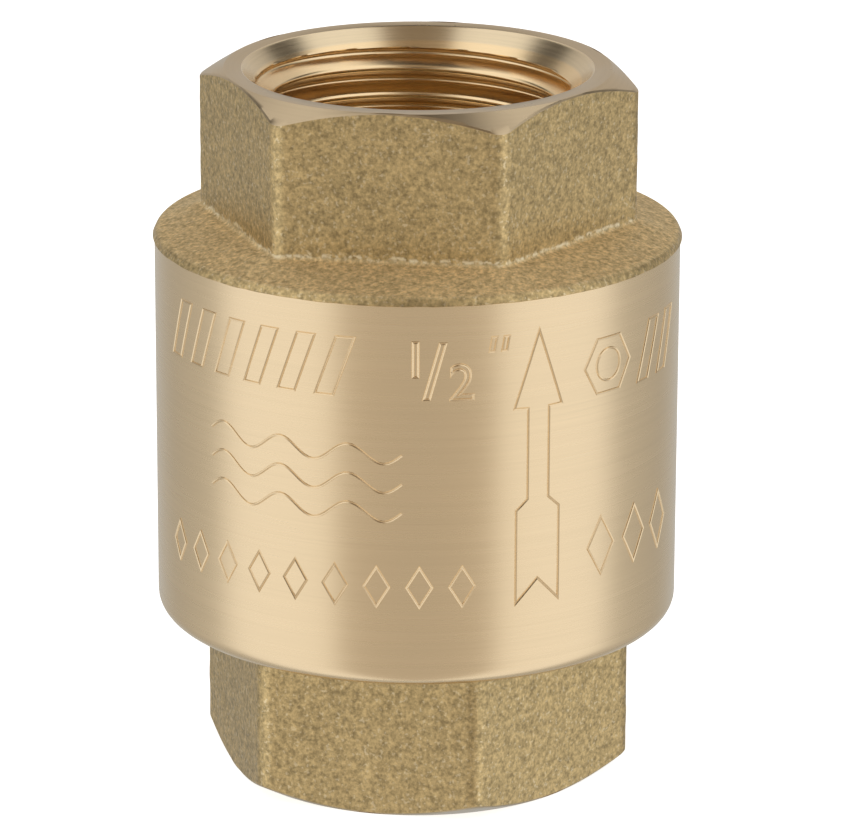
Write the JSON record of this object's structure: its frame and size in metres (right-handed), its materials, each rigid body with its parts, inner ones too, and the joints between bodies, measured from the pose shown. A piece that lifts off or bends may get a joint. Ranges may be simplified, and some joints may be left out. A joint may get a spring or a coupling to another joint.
{
  "type": "in-line spring check valve",
  "caption": "Brass in-line spring check valve with a hexagon and a female pipe thread at each end and a round drum between them; a sprung disc lets flow pass only upwards.",
  "frame": {"origin": "centre of the inlet end face, on the valve's axis", "axes": "+Z along the valve's axis in the direction of flow, from inlet to outlet; +Y square to one pair of the outlet hexagon's flats; +X through two of its corners"},
  "size_m": [0.0342, 0.0342, 0.0465],
  "materials": {
    "body_brass": "drum turned to a fine satin, hexagon and shoulder rough as forged",
    "connector_brass": "rough as forged, with turned chamfer and thread",
    "o_ring_rubber": "matt nitrile rubber",
    "shutter_plastic": "moulded nylon, off-white",
    "seal_rubber": "matt nitrile rubber",
    "plate_plastic": "moulded nylon, off-white",
    "clip_steel": "stamped stainless spring steel",
    "spring_steel": "drawn stainless wire"
  },
  "bodies": {
    "housing": {"body": "body_brass", "end_connector": "connector_brass", "joint_o_ring": "o_ring_rubber", "spring": "spring_steel"},
    "shutter_unit": {"shutter": "shutter_plastic", "shutter_seal": "seal_rubber", "seal_plate": "plate_plastic", "plate_clip": "clip_steel"}
  },
  "joints": [
    {"name": "shutter_slide", "type": "slide", "parent": "housing", "child": "shutter_unit", "axis": [0, 0, 1], "range_m": [0, 0.0045], "stiffness_N_per_m": 120, "springref_m": -0.0045, "deforming": ["spring"]}
  ]
}
